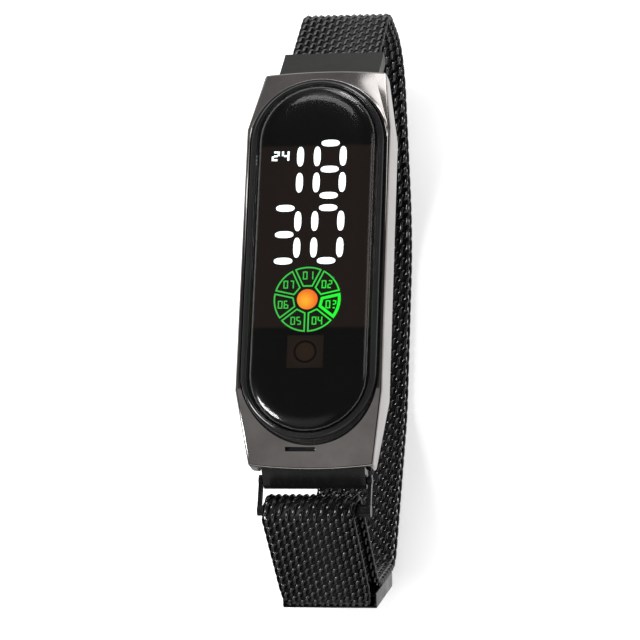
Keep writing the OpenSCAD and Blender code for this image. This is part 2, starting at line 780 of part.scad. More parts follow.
module upper_bar_tube() { color([0.6, 0.6, 0.62]) bar_tube(upper_bar); }
module upper_bar_spring() { color([0.5, 0.5, 0.52]) bar_spring(upper_bar); }
module upper_left_tip() { color([0.7, 0.7, 0.72]) bar_tip(upper_bar, -1); }
module upper_right_tip() { color([0.7, 0.7, 0.72]) bar_tip(upper_bar, 1); }
module lower_bar_tube() { color([0.6, 0.6, 0.62]) bar_tube(lower_bar); }
module lower_bar_spring() { color([0.5, 0.5, 0.52]) bar_spring(lower_bar); }
module lower_left_tip() { color([0.7, 0.7, 0.72]) bar_tip(lower_bar, -1); }
module lower_right_tip() { color([0.7, 0.7, 0.72]) bar_tip(lower_bar, 1); }

// Strap

module upper_link() {
    low = knuckle_r - link_t;
    link_lead = 0.25;
    function at(s, h) = upper_bar + s * link_dir + h * link_up;
    color([0.20, 0.20, 0.20]) difference() {
        union() {
            rod(upper_bar, knuckle_r, -link_w / 2, link_w / 2);
            along_x(link_w) polygon([at(0, knuckle_r), at(0, low), at(link_len, low),
                at(link_len, knuckle_r - link_lead), at(link_len - link_lead, knuckle_r)]);
        }
        rod(upper_bar, link_bore, -link_w, link_w);
        along_x(mesh_w + 2 * seat_play) polygon([for (c = [[0, -1], [0, 1], [1, 1], [1, -1]])
            at(link_len + (2 * c[0] - 1) * (mesh_seat + seat_play),
                mesh_off + c[1] * (mesh_t / 2 + seat_play))]);
    }
}

module strap_mesh() {
    color([0.10, 0.10, 0.105]) band(strap_path, mesh_w, mesh_t);
}

module strap_fold() {
    color([0.10, 0.10, 0.105]) aside() difference() {
        rod(crossbar, fold_out, -mesh_w / 2, mesh_w / 2);
        rod(crossbar, fold_in, -mesh_w, mesh_w);
        translate([0, crossbar[0], crossbar[1]]) rotate([layer_tilt + 180, 0, 0])
            translate([-mesh_w, 0, -3 * fold_out]) cube([2 * mesh_w, 3 * fold_out, 6 * fold_out]);
    }
}

module lower_link() {
    barrel_r = knuckle_r - seat_gap;
    run = unit(ring_pivot - lower_bar);
    side = cross_to(run) * barrel_r;
    color([0.09, 0.09, 0.10]) difference() {
        union() {
            rod(lower_bar, knuckle_r, -link_w / 2, link_w / 2);
            rod(ring_pivot, barrel_r, -link_w / 2, link_w / 2);
            along_x(link_w) polygon([lower_bar + side, lower_bar - side, ring_pivot - side,
                ring_pivot + side]);
        }
        rod(lower_bar, link_bore, -link_w, link_w);
        rod(ring_pivot, ring_pin_r + 0.01, -link_w, link_w);
    }
}

arm_in = link_w / 2 + arm_gap;
arm_out = arm_in + arm_t;
module ring_pin() {
    color([0.30, 0.30, 0.31]) rod(ring_pivot, ring_pin_r, -arm_out - 0.05, arm_out + 0.05);
}

module buckle_ring() {
    eye_r = ring_pin_r + 0.3;
    end_r = cross_r + 0.18;
    run = unit(crossbar - ring_pivot);
    side = cross_to(run) * 0.5;
    knob_in = fold_shift + mesh_w / 2 + knob_gap;
    color([0.07, 0.07, 0.075]) {
        rod(crossbar, cross_r, -arm_out, arm_in);
        rod(crossbar, end_r, knob_in, arm_out + knob_out);
        for (s = [-1, 1]) {
            difference() {
                union() {
                    rod(ring_pivot, eye_r, s > 0 ? arm_in : -arm_out, s > 0 ? arm_out : -arm_in);
                    translate([s * (arm_in + arm_out) / 2, 0, 0]) along_x(arm_t) polygon([
                        ring_pivot + side, ring_pivot - side, crossbar - side, crossbar + side]);
                }
                rod(ring_pivot, ring_pin_r + run_gap, -arm_out - 1, arm_out + 1);
            }
        }
    }
}

// Tail and clasp

module strap_tail() {
    color([0.10, 0.10, 0.105]) aside() band(tail_path, mesh_w, mesh_t);
}

// Places a box by its run along the clasp and its height off the clasp's middle plane
module clasp_box(s0, s1, h0, h1, w) {
    function at(s, h) = tail_bend + (clasp_start + s) * clasp_dir + h * clasp_out;
    along_x(w) polygon([at(s0, h0), at(s1, h0), at(s1, h1), at(s0, h1)]);
}

clasp_low = -clasp_t / 2;
clasp_wall = 0.4;
magnet_in = tail_seat + 3.5 * clasp_wall;
magnet_gap = 0.05;
magnet_end = clasp_l - 2.5 * clasp_wall;
magnet_l = (magnet_end - magnet_in - magnet_gap) / 2;
magnet_w = clasp_w - 6 * clasp_wall;
plate_w = clasp_w - 3 * clasp_wall;
magnet_top = clasp_t / 2 - clasp_wall;
module clasp_housing() {
    lead = 0.3;
    function at(s, h) = tail_bend + (clasp_start + s) * clasp_dir + h * clasp_out;
    color([0.09, 0.09, 0.095]) aside() difference() {
        along_x(clasp_w) polygon([at(0, clasp_low), at(clasp_l, clasp_low),
            at(clasp_l, -clasp_low - lead), at(clasp_l - lead, -clasp_low), at(lead, -clasp_low),
            at(0, -clasp_low - lead)]);
        clasp_box(-1, tail_seat + seat_play, -mesh_t / 2 - seat_play, mesh_t / 2 + seat_play,
            mesh_w + 2 * seat_play);
        clasp_box(magnet_in - clasp_wall, clasp_l - clasp_wall, clasp_low - 1, clasp_low + plate_t,
            plate_w);
        clasp_box(magnet_in - magnet_gap, magnet_end + magnet_gap, clasp_low - 1,
            magnet_top + magnet_gap, magnet_w + 2 * magnet_gap);
    }
}

module clasp_magnets() {
    color([0.62, 0.62, 0.64]) aside() for (k = [0, 1]) let (s = magnet_in + k * (magnet_l + magnet_gap))
        clasp_box(s, s + magnet_l, clasp_low + plate_t, magnet_top, magnet_w);
}

module clasp_plate() {
    color([0.12, 0.12, 0.125]) aside()
        clasp_box(magnet_in - clasp_wall + magnet_gap, clasp_l - clasp_wall - magnet_gap, clasp_low,
            clasp_low + plate_t, plate_w - 2 * magnet_gap);
}

case_frame();
capsule_shell();
bezel_ring();
lens();
display_film();
light_frame();
digit_lights();
unlit_segments();
number_light();
weekday_lights();
wheel_disc();
pulse_light();
touch_pad();
main_board();
led_chips();
controller_chip();
crystal();
coin_cell();
battery_clip();
battery_spring();
rear_gasket();
rear_cover();
rear_screws();
upper_bar_tube();
upper_bar_spring();
upper_left_tip();
upper_right_tip();
lower_bar_tube();
lower_bar_spring();
lower_left_tip();
lower_right_tip();
upper_link();
strap_mesh();
strap_fold();
lower_link();
ring_pin();
buckle_ring();
strap_tail();
clasp_housing();
clasp_magnets();
clasp_plate();
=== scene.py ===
import math

import bmesh
import bpy
import numpy as np
from mathutils import Matrix, Quaternion, Vector


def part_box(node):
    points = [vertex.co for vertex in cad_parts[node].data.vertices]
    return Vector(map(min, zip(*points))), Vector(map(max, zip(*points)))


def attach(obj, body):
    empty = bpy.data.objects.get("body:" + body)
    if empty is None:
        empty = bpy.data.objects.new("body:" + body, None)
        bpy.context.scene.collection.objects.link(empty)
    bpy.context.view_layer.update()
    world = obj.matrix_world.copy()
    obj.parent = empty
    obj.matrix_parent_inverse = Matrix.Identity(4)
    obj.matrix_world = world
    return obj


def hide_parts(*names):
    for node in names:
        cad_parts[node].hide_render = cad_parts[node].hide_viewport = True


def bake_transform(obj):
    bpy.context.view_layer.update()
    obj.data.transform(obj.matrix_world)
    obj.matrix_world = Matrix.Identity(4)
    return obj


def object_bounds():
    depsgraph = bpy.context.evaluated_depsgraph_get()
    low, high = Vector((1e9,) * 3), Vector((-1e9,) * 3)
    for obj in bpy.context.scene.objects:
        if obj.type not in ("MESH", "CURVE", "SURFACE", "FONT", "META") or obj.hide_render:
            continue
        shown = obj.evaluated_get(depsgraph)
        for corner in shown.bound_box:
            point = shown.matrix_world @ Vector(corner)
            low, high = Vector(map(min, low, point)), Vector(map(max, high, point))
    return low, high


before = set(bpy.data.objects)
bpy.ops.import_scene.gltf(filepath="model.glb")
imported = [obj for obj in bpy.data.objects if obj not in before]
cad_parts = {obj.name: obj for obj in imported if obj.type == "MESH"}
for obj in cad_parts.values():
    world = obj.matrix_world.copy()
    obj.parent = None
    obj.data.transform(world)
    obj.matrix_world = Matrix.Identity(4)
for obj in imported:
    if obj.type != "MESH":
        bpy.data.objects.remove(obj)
cad_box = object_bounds()
MM = 0.001


# Camera. The watch is photographed from close by, a little to its right and below, with the case
# leaning left in the picture.
CAMERA_PAN = math.radians(10)
CAMERA_TILT = math.radians(16)
CAMERA_ROLL = math.radians(2.252)
CAMERA_DISTANCE = 380.0
CAMERA_SLIDE = (-0.86, 8.282)
AIM = np.array([0.0, 0.0, 8.0])
SENSOR_WIDTH = 36.0
FOCAL_LENGTH = 161.97
NEAR_LIMIT = 0.01


def camera_axes():
    """Right, up and backward directions of a camera that orbits by pan and tilt, then rolls."""
    back = np.array([
        math.sin(CAMERA_PAN) * math.cos(CAMERA_TILT),
        -math.sin(CAMERA_TILT),
        math.cos(CAMERA_PAN) * math.cos(CAMERA_TILT),
    ])
    level = np.cross((0.0, 1.0, 0.0), back)
    level /= np.linalg.norm(level)
    upright = np.cross(back, level)
    right = math.cos(CAMERA_ROLL) * level + math.sin(CAMERA_ROLL) * upright
    up = math.cos(CAMERA_ROLL) * upright - math.sin(CAMERA_ROLL) * level
    return right, up, back


right, up, back = camera_axes()
camera_place = AIM + back * CAMERA_DISTANCE - right * CAMERA_SLIDE[0] - up * CAMERA_SLIDE[1]
camera_data = bpy.data.cameras.new("camera")
camera_data.sensor_width = SENSOR_WIDTH
camera_data.lens = FOCAL_LENGTH
camera_data.clip_start = NEAR_LIMIT
camera = bpy.data.objects.new("camera", camera_data)
camera.matrix_world = Matrix(
    np.column_stack([right, up, back, camera_place * MM]).tolist() + [[0, 0, 0, 1]])
bpy.context.scene.collection.objects.link(camera)
bpy.context.scene.camera = camera
bpy.context.scene.view_settings.view_transform = "Standard"


# Studio. A white table under the strap, white walls low down all round and a dark ceiling, so that
# the black lens stays black and only edges and slopes catch the light of a few soft boxes.
FLOOR_HALF = 700.0
FLOOR_GREY = 0.85
FLOOR_GLOW = 0.62
FLOOR_SHEEN = (0.40, 0.80)
FLOOR_SHEEN_X = (-20.0, 12.0)
FLOOR_SHEEN_Y = (-52.0, -28.0)
FLOOR_DIM = 0.32
CEILING_LEVEL = 0.055
HORIZON_LEVEL = 1.0
WALL_HEIGHTS = (0.05, 0.34)
NEAR_BOUNCES = 2.5
# Each patch: direction, angle of full strength, angle of none, strength
ROOM_PATCHES = [
    ((-0.167, 0.861, 0.48), 8.0, 24.0, 0.13),
    ((-0.167, -0.468, 0.868), 10.0, 26.0, 0.20),
    ((-0.14, 0.64, 0.755), 1.0, 11.0, 0.5),
    ((0.82, 0.28, 0.50), 3.0, 12.0, 0.8),
]
# Each lamp: name, place, point it faces, width, height, spin, level, whether reflections show it
LAMPS = [
    ("lamp_top", (110.0, 410.0, 115.0), (0.0, 0.0, 0.0), 130.0, 80.0, 0.0, 4.5, True),
    ("lamp_left", (-262.0, -118.0, 246.0), (0.0, 0.0, 8.0), 170.0, 84.0, 40.0, 13.0, True),
    ("strip_high", (-50.0, 268.0, 372.0), (0.0, 20.0, 9.0), 180.0, 64.0, -26.0, 1.6, True),
    ("strip_low", (118.0, 362.0, 222.0), (0.0, 20.0, 9.0), 170.0, 32.0, -22.0, 3.6, True),
    ("lamp_over", (-60.0, -40.0, 520.0), (0.0, 0.0, 0.0), 240.0, 240.0, 0.0, 12.0, False),
    ("card_top", (17.0, 112.0, 50.2), (8.0, 26.0, 6.0), 40.0, 40.0, 35.0, 2.0, True),
]


def node(tree, kind, **settings):
    """A shader node of that kind with its named inputs or settings filled in."""
    made = tree.nodes.new(kind)
    for key, value in settings.items():
        if key in made.inputs:
            made.inputs[key].default_value = value
        else:
            setattr(made, key, value)
    return made


def mapped(tree, source, ranges, **settings):
    """A map range node after a socket, with from min, from max, to min and to max in that order."""
    made = node(tree, "ShaderNodeMapRange", **settings)
    for key, value in zip(("From Min", "From Max", "To Min", "To Max"), ranges):
        made.inputs[key].default_value = value
    tree.links.new(source, made.inputs["Value"])
    return made.outputs[0]


def combined(tree, operation, first, second):
    """A math node on two sockets, or on a socket and a number."""
    made = node(tree, "ShaderNodeMath", operation=operation)
    for k, value in enumerate((first, second)):
        if isinstance(value, (int, float)):
            made.inputs[k].default_value = value
        else:
            tree.links.new(value, made.inputs[k])
    return made.outputs[0]


def straight_view(tree):
    """1 for what the camera sees, also through one clear wall, and 0 for light bounced under a lens."""
    path = node(tree, "ShaderNodeLightPath")
    early = combined(tree, "LESS_THAN", path.outputs["Ray Depth"], NEAR_BOUNCES)
    through = combined(tree, "MULTIPLY", path.outputs["Is Transmission Ray"], early)
    return combined(tree, "MAXIMUM", path.outputs["Is Camera Ray"], through)


def build_world():
    """White to the camera and through glass. Else a level that falls from the white horizon to the
    ceiling, with a soft patch about each listed direction: full within its first angle, none past
    its second."""
    world = bpy.data.worlds.new("studio")
    bpy.context.scene.world = world
    world.use_nodes = True
    tree = world.node_tree
    tree.nodes.clear()
    out = node(tree, "ShaderNodeOutputWorld")
    coords = node(tree, "ShaderNodeTexCoord")
    split = node(tree, "ShaderNodeSeparateXYZ")
    tree.links.new(coords.outputs["Generated"], split.inputs[0])
    level = mapped(tree, split.outputs["Z"], (*WALL_HEIGHTS, HORIZON_LEVEL, CEILING_LEVEL),
                   interpolation_type="SMOOTHSTEP")
    for direction, full, none, strength in ROOM_PATCHES:
        toward = node(tree, "ShaderNodeVectorMath", operation="DOT_PRODUCT")
        tree.links.new(coords.outputs["Generated"], toward.inputs[0])
        toward.inputs[1].default_value = Vector(direction).normalized()
        patch = mapped(tree, toward.outputs["Value"],
                       (math.cos(math.radians(none)), math.cos(math.radians(full)), 0.0, strength),
                       interpolation_type="SMOOTHSTEP")
        level = combined(tree, "ADD", level, patch)
    room = node(tree, "ShaderNodeBackground", Color=(1.0, 0.985, 0.975, 1))
    tree.links.new(level, room.inputs["Strength"])
    white = node(tree, "ShaderNodeBackground", Color=(1, 1, 1, 1), Strength=1.0)
    mix = node(tree, "ShaderNodeMixShader")
    tree.links.new(straight_view(tree), mix.inputs[0])
    tree.links.new(room.outputs[0], mix.inputs[1])
    tree.links.new(white.outputs[0], mix.inputs[2])
    tree.links.new(mix.outputs[0], out.inputs[0])


def build_floor():
    """A flat square at the strap's lowest point. It glows a little to the camera, which keeps it white
    and keeps its shadow, and in reflections it is brightest to the right of the watch."""
    low = float(cad_box[0][2])
    half = FLOOR_HALF * MM
    mesh = bpy.data.meshes.new("floor")
    mesh.from_pydata([(-half, -half, low), (half, -half, low), (half, half, low), (-half, half, low)],
                     [], [(0, 1, 2, 3)])
    floor = bpy.data.objects.new("floor", mesh)
    bpy.context.scene.collection.objects.link(floor)
    paint = bpy.data.materials.new("white_table")
    paint.use_nodes = True
    tree = paint.node_tree
    tree.nodes.clear()
    out = node(tree, "ShaderNodeOutputMaterial")
    matte = node(tree, "ShaderNodeBsdfDiffuse", Color=(FLOOR_GREY, FLOOR_GREY, FLOOR_GREY, 1))
    glow = node(tree, "ShaderNodeEmission", Color=(1, 1, 1, 1))
    tree.links.new(combined(tree, "MULTIPLY", straight_view(tree), FLOOR_GLOW), glow.inputs["Strength"])
    both = node(tree, "ShaderNodeAddShader")
    tree.links.new(matte.outputs[0], both.inputs[0])
    tree.links.new(glow.outputs[0], both.inputs[1])
    coords = node(tree, "ShaderNodeTexCoord")
    split = node(tree, "ShaderNodeSeparateXYZ")
    tree.links.new(coords.outputs["Object"], split.inputs[0])
    across = mapped(tree, split.outputs["X"], (*[v * MM for v in FLOOR_SHEEN_X], *FLOOR_SHEEN),
                    interpolation_type="SMOOTHSTEP")
    along = mapped(tree, split.outputs["Y"], (*[v * MM for v in FLOOR_SHEEN_Y], FLOOR_DIM, 1.0),
                   interpolation_type="SMOOTHSTEP")
    mirrored = node(tree, "ShaderNodeEmission", Color=(1, 0.99, 0.985, 1))
    tree.links.new(combined(tree, "MULTIPLY", across, along), mirrored.inputs["Strength"])
    path = node(tree, "ShaderNodeLightPath")
    mix = node(tree, "ShaderNodeMixShader")
    tree.links.new(path.outputs["Is Glossy Ray"], mix.inputs[0])
    tree.links.new(both.outputs[0], mix.inputs[1])
    tree.links.new(mirrored.outputs[0], mix.inputs[2])
    tree.links.new(mix.outputs[0], out.inputs[0])
    mesh.materials.append(paint)


def build_lamps():
    """Soft boxes that face a point of the watch. The power is the level times pi times the area, so the
    level is what a reflection shows. The camera sees none of them, and the one overhead is kept out
    of reflections too."""
    for name, place, aim, width, height, spin, level, mirrored in LAMPS:
        lamp = bpy.data.lights.new(name, "AREA")
        lamp.shape = "RECTANGLE"
        lamp.size = width * MM
        lamp.size_y = height * MM
        lamp.energy = level * math.pi * width * height * MM ** 2
        soft_box = bpy.data.objects.new(name, lamp)
        soft_box.location = Vector(place) * MM
        facing = (Vector(place) - Vector(aim)).to_track_quat("Z", "Y")
        soft_box.rotation_euler = (facing @ Quaternion((0, 0, 1), math.radians(spin))).to_euler()
        soft_box.visible_camera = False
        soft_box.visible_glossy = mirrored
        bpy.context.scene.collection.objects.link(soft_box)


build_world()
build_floor()
build_lamps()


# Case. One piece of cast and plated gunmetal, with straight sides, long sloping facets at both ends,
# a low rim round the capsule's upper end and a nail slot in the lower facet. Its outer corners are
# tumbled soft.
GUNMETAL = (0.47, 0.445, 0.435)
CASE_HALF_WIDTH = 9.75
CASE_SIDE_RUN = 18.05
CASE_END_HALF = 8.3
CASE_END_Y = 27.3
OUTLINE_SLACK = (0.03, 0.05)
OUTER_EDGE = 0.32
INNER_SHARE = 0.28
SLOT_X = -1.3
SLOT_HALF = 2.0
SLOT_Y = (-25.6, -24.95)
SLOT_Z = (4.3, 4.98)
SHARP_ANGLE = 24
FLAT_ANGLE = 1.0
WELD_REACH = 2e-6
NOISE_RANGE = (0.3, 0.7)
LEAST_ROUGHNESS = 0.02
GRAIN_SIZE = 0.6


def keep_mesh(name, mesh, finish, body, stands_for):
    """Links a finished mesh as a piece that stands for a CAD node, takes a material slot and rides on a
    body. With no body it is left unattached."""
    piece = bpy.data.objects.new(name, mesh)
    bpy.context.scene.collection.objects.link(piece)
    mesh.materials.append(finish)
    if body:
        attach(piece, body)
    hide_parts(stands_for)
    return piece


def softened(cad_name, name, width, finish, body, steps=2):
    """A copy of a CAD solid, its loose triangles joined, flat faces merged and edges rounded."""
    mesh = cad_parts[cad_name].data.copy()
    mesh.name = name
    shape = bmesh.new()
    shape.from_mesh(mesh)
    bmesh.ops.remove_doubles(shape, verts=shape.verts, dist=WELD_REACH)
    bmesh.ops.dissolve_limit(shape, angle_limit=math.radians(FLAT_ANGLE), verts=shape.verts,
                             edges=shape.edges)
    shape.to_mesh(mesh)
    shape.free()
    mesh.materials.clear()
    for polygon in mesh.polygons:
        polygon.use_smooth = True
    piece = keep_mesh(name, mesh, finish, body, cad_name)
    rounding = piece.modifiers.new("rounded edges", "BEVEL")
    rounding.width = width * MM
    rounding.segments = steps
    rounding.limit_method = "ANGLE"
    rounding.angle_limit = math.radians(SHARP_ANGLE)
    rounding.use_clamp_overlap = True
    shading = piece.modifiers.new("flat faces stay flat", "WEIGHTED_NORMAL")
    shading.keep_sharp = True
    return piece


def plated(name, colour, roughness, grain=0.02, spread=0.08, metallic=1.0, cloud_size=3.8,
           cloud_depth=0.12, index=1.5):
    """A plated metal or hard plastic. Wide clouds of noise vary its sheen by the spread and its colour
    by the cloud depth, and fine noise gives it a grain as high as that share of the grain's size."""
    finish = bpy.data.materials.new(name)
    finish.use_nodes = True
    tree = finish.node_tree
    shader = tree.nodes["Principled BSDF"]
    shader.inputs["Base Color"].default_value = (*colour, 1)
    shader.inputs["Metallic"].default_value = metallic
    shader.inputs["IOR"].default_value = index
    coords = node(tree, "ShaderNodeTexCoord")
    clouds = node(tree, "ShaderNodeTexNoise", Scale=1 / (cloud_size * MM), Detail=4.0, Roughness=0.6)
    tree.links.new(coords.outputs["Object"], clouds.inputs["Vector"])
    sheen = mapped(tree, clouds.outputs["Fac"],
                   (*NOISE_RANGE, max(LEAST_ROUGHNESS, roughness - spread), roughness + spread))
    tree.links.new(sheen, shader.inputs["Roughness"])
    tint = node(tree, "ShaderNodeVectorMath", operation="SCALE")
    tint.inputs[0].default_value = colour
    shade = mapped(tree, clouds.outputs["Fac"], (*NOISE_RANGE, 1 - cloud_depth, 1 + cloud_depth))
    tree.links.new(shade, tint.inputs["Scale"])
    tree.links.new(tint.outputs[0], shader.inputs["Base Color"])
    fine = node(tree, "ShaderNodeTexNoise", Scale=4.0 / (GRAIN_SIZE * MM), Detail=3.0)
    tree.links.new(coords.outputs["Object"], fine.inputs["Vector"])
    bump = node(tree, "ShaderNodeBump", Strength=1.0)
    bump.inputs["Distance"].default_value = grain * GRAIN_SIZE * MM
    tree.links.new(fine.outputs["Fac"], bump.inputs["Height"])
    tree.links.new(bump.outputs["Normal"], shader.inputs["Normal"])
    return finish


def on_outside(x, y):
    """True for points on the case's outline: straight sides, then straight tapers to its two ends."""
    x, y = np.abs(x), np.abs(y)
    taper = (CASE_HALF_WIDTH - CASE_END_HALF) / (CASE_END_Y - CASE_SIDE_RUN)
    half = CASE_HALF_WIDTH - np.clip(y - CASE_SIDE_RUN, 0, None) * taper
    return (x > half - OUTLINE_SLACK[0]) | (y > CASE_END_Y - OUTLINE_SLACK[1])


def round_outer_edges(piece):
    """Weights each sharp edge for the bevel: 1 where both its ends lie on the outline, less inside."""
    mesh = piece.data
    place = np.empty(len(mesh.vertices) * 3)
    mesh.vertices.foreach_get("co", place)
    place = place.reshape(-1, 3) / MM
    ends = np.empty(len(mesh.edges) * 2, np.int32)
    mesh.edges.foreach_get("vertices", ends)
    outside = on_outside(place[:, 0], place[:, 1])[ends.reshape(-1, 2)].all(axis=1)
    normals = {}
    for polygon in mesh.polygons:
        for key in polygon.edge_keys:
            normals.setdefault(key, []).append(polygon.normal)
    sharp = np.array([len(normals.get(edge.key, ())) == 2
                      and normals[edge.key][0].angle(normals[edge.key][1], 0) > math.radians(SHARP_ANGLE)
                      for edge in mesh.edges])
    weight = np.where(sharp, np.where(outside, 1.0, INNER_SHARE), 0.0)
    layer = mesh.attributes.new("bevel_weight_edge", "FLOAT", "EDGE")
    layer.data.foreach_set("value", weight.astype(np.float32))
    rounding = piece.modifiers["rounded edges"]
    rounding.limit_method = "WEIGHT"
    rounding.use_clamp_overlap = False


def paint_slot_shade(piece, slot_shade):
    """Gives the faces sunk in the lower facet's nail slot a second finish, near black as painted shade
    in the recess.
    """
    mesh = piece.data
    mesh.materials.append(slot_shade)
    for polygon in mesh.polygons:
        x, y, z = (v / MM for v in polygon.center)
        if abs(x - SLOT_X) < SLOT_HALF and SLOT_Y[0] < y < SLOT_Y[1] and SLOT_Z[0] < z < SLOT_Z[1]:
            polygon.material_index = 1


gunmetal = plated("gunmetal_plating", GUNMETAL, 0.07, grain=0.0001, spread=0.01, cloud_size=7.0,
                  cloud_depth=0.20)
case_body = softened("case_frame", "case_body", OUTER_EDGE, gunmetal, "case", steps=4)
round_outer_edges(case_body)
# The nail slot's black is painted shade in its recess.
paint_slot_shade(case_body, plated("slot_painted_shade", (0.006, 0.006, 0.006), 0.7, metallic=0.0))


# Capsule. A moulded black tub let into the case, with a glossy stepped ring welded on top that
# frames the lens. A narrow chamfer and two fine ridges on the ring catch the light, and the ring is a
# little narrower at its two ends.
HALF_RUN = 15.6
RUN_GAIN = 0.35
RING_OUTER = 9.05
RING_INNER = 8.0
RING_FOOT = 7.4
RING_TOP = 8.85
RING_ROUNDING = 0.05
RUN_STEPS = 6
RING_STEPS = 72
SEAM_REACH = 1e-7
CURVE_STEPS = 5
CURVE_SHARE = 0.45


def pill_walk(arc_steps):
    """Outward directions and centres round a shape with two straight sides and two half-round ends.
    A centre is the y that its direction starts from: the end's own, or a place along the side."""
    arc = np.linspace(0, math.pi, arc_steps + 1)
    run = np.linspace(HALF_RUN, -HALF_RUN, RUN_STEPS + 1)[1:-1]
    upper = np.stack([np.cos(arc), np.sin(arc)], 1)
    directions = np.concatenate([upper, np.tile([[-1.0, 0.0]], (len(run), 1)), -upper,
                                 np.tile([[1.0, 0.0]], (len(run), 1))])
    centres = np.concatenate([np.full(len(arc), HALF_RUN), run, np.full(len(arc), -HALF_RUN), -run])
    return directions, centres


def carried_round(name, profile, closed, arc_steps):
    """A profile of (radius, height) points carried round the pill: the place is the end's centre plus
    radius times the outward direction. The centres move out by up to the run's gain from the ring's
    outer edge to its inner one. A closed profile is a ring; an open one runs from axis to axis."""
    profile = np.array(profile, float)
    directions, centres = pill_walk(arc_steps)
    around, along = len(directions), len(profile)
    radius = profile[:, 0][None, :, None]
    inward = np.clip((RING_OUTER - profile[:, 0]) / (RING_OUTER - RING_INNER), 0, 1)
    place = directions[:, None, :] * radius
    place[..., 1] += centres[:, None] * (1 + RUN_GAIN / HALF_RUN * inward[None])
    height = np.broadcast_to(profile[:, 1][None, :, None], (around, along, 1))
    points = np.concatenate([place, height], 2).reshape(-1, 3) * MM
    i, j = np.meshgrid(np.arange(around), np.arange(along if closed else along - 1), indexing="ij")
    i, j = i.ravel(), j.ravel()
    after_i, after_j = (i + 1) % around, (j + 1) % along
    faces = np.stack([i * along + j, after_i * along + j, after_i * along + after_j,
                      i * along + after_j], 1)
    mesh = bpy.data.meshes.new(name)
    mesh.from_pydata(points.tolist(), [], faces.tolist())
    shape = bmesh.new()
    shape.from_mesh(mesh)
    bmesh.ops.remove_doubles(shape, verts=shape.verts, dist=SEAM_REACH)
    bmesh.ops.recalc_face_normals(shape, faces=shape.faces)
    shape.to_mesh(mesh)
    shape.free()
    for polygon in mesh.polygons:
        polygon.use_smooth = True
    return mesh


def rounded_profile(corners, radius):
    """The corner points of a closed outline, each replaced by a short curve between two points that
    lie a radius from the corner along its sides, or at most a share of the shorter side. The curve is
    a parabola: the two points and the corner weighted by (1 - t) squared, t squared and 2 t (1 - t)."""
    corners = np.array(corners, float)
    before = np.roll(corners, 1, 0) - corners
    after = np.roll(corners, -1, 0) - corners
    span_before = np.linalg.norm(before, axis=1, keepdims=True)
    span_after = np.linalg.norm(after, axis=1, keepdims=True)
    reach = np.minimum(radius, CURVE_SHARE * np.minimum(span_before, span_after))
    start = corners + before / span_before * reach
    end = corners + after / span_after * reach
    t = np.linspace(0, 1, CURVE_STEPS)[None, :, None]
    curve = ((1 - t) ** 2 * start[:, None] + 2 * t * (1 - t) * corners[:, None]
             + t ** 2 * end[:, None])
    return curve.reshape(-1, 2)


ring_profile = rounded_profile([
    (RING_INNER, RING_FOOT), (RING_OUTER, RING_FOOT), (RING_OUTER, 7.95), (8.99, 8.38),
    (8.92, RING_TOP - 0.18), (8.68, RING_TOP - 0.06), (8.52, RING_TOP), (8.44, RING_TOP - 0.14),
    (8.36, RING_TOP - 0.15), (8.28, RING_TOP - 0.06), (8.18, RING_TOP - 0.10), (8.08, RING_TOP - 0.36),
    (RING_INNER, RING_TOP - 0.40)], RING_ROUNDING)
gloss_black = plated("gloss_black_ring", (0.016, 0.016, 0.017), 0.10, grain=0.0008, spread=0.03,
                     metallic=0.0, index=1.75)
keep_mesh("stepped_ring", carried_round("stepped_ring", ring_profile, True, RING_STEPS), gloss_black,
          "case", "bezel_ring")


# Lens. Moulded in smoked clear plastic, hard coated and welded into the ring. It is nearly flat in
# the middle with a cushion edge, so the rim gathers the room's light and the middle shows the display.
LENS_RADIUS = 7.95
LENS_LOW = 7.45
LENS_EDGE = 8.42
LENS_HIGH = 9.72
LENS_FOOT = 0.08
LENS_SIDE_TOP = 8.22
LENS_UNDER_RING = 4.0
LENS_POWER = 6.0
LENS_STEPS = 72
LENS_ARC_STEPS = 128
LENS_TINT = (0.88, 0.87, 0.86)
HAZE_SCALE = 90.0


def build_lens():
    """An open profile from the axis under the lens and up its side to the top, carried round the pill.
    The top's height over the edge falls as the root of one minus (radius / lens radius) to a power."""
    share = np.sin(np.linspace(math.pi / 2, 0, LENS_STEPS))
    radius = LENS_RADIUS * share
    height = LENS_EDGE + (LENS_HIGH - LENS_EDGE) * np.sqrt(1 - share ** LENS_POWER)
    side = [(0.0, LENS_LOW), (LENS_UNDER_RING, LENS_LOW), (LENS_RADIUS - LENS_FOOT, LENS_LOW),
            (LENS_RADIUS, LENS_LOW + LENS_FOOT), (LENS_RADIUS, LENS_SIDE_TOP)]
    return carried_round("lens_cushion", side + list(zip(radius, height)), False, LENS_ARC_STEPS)


def smoked_plastic():
    """Clear plastic with an uneven smoke tint under a polished hard coat."""
    finish = bpy.data.materials.new("smoked_lens")
    finish.use_nodes = True
    tree = finish.node_tree
    shader = tree.nodes["Principled BSDF"]
    shader.inputs["Transmission Weight"].default_value = 1.0
    shader.inputs["IOR"].default_value = 1.49
    shader.inputs["Roughness"].default_value = 0.0
    shader.inputs["Specular IOR Level"].default_value = 0.0
    shader.inputs["Coat Weight"].default_value = 1.0
    shader.inputs["Coat Roughness"].default_value = 0.19
    coords = node(tree, "ShaderNodeTexCoord")
    haze = node(tree, "ShaderNodeTexNoise", Scale=HAZE_SCALE, Detail=3.0)
    tree.links.new(coords.outputs["Object"], haze.inputs["Vector"])
    tint = node(tree, "ShaderNodeVectorMath", operation="SCALE")
    tint.inputs[0].default_value = LENS_TINT
    tree.links.new(mapped(tree, haze.outputs["Fac"], (*NOISE_RANGE, 0.98, 1.0)), tint.inputs["Scale"])
    tree.links.new(tint.outputs[0], shader.inputs["Base Color"])
    return finish


keep_mesh("lens_cushion", build_lens(), smoked_plastic(), "case", "lens")
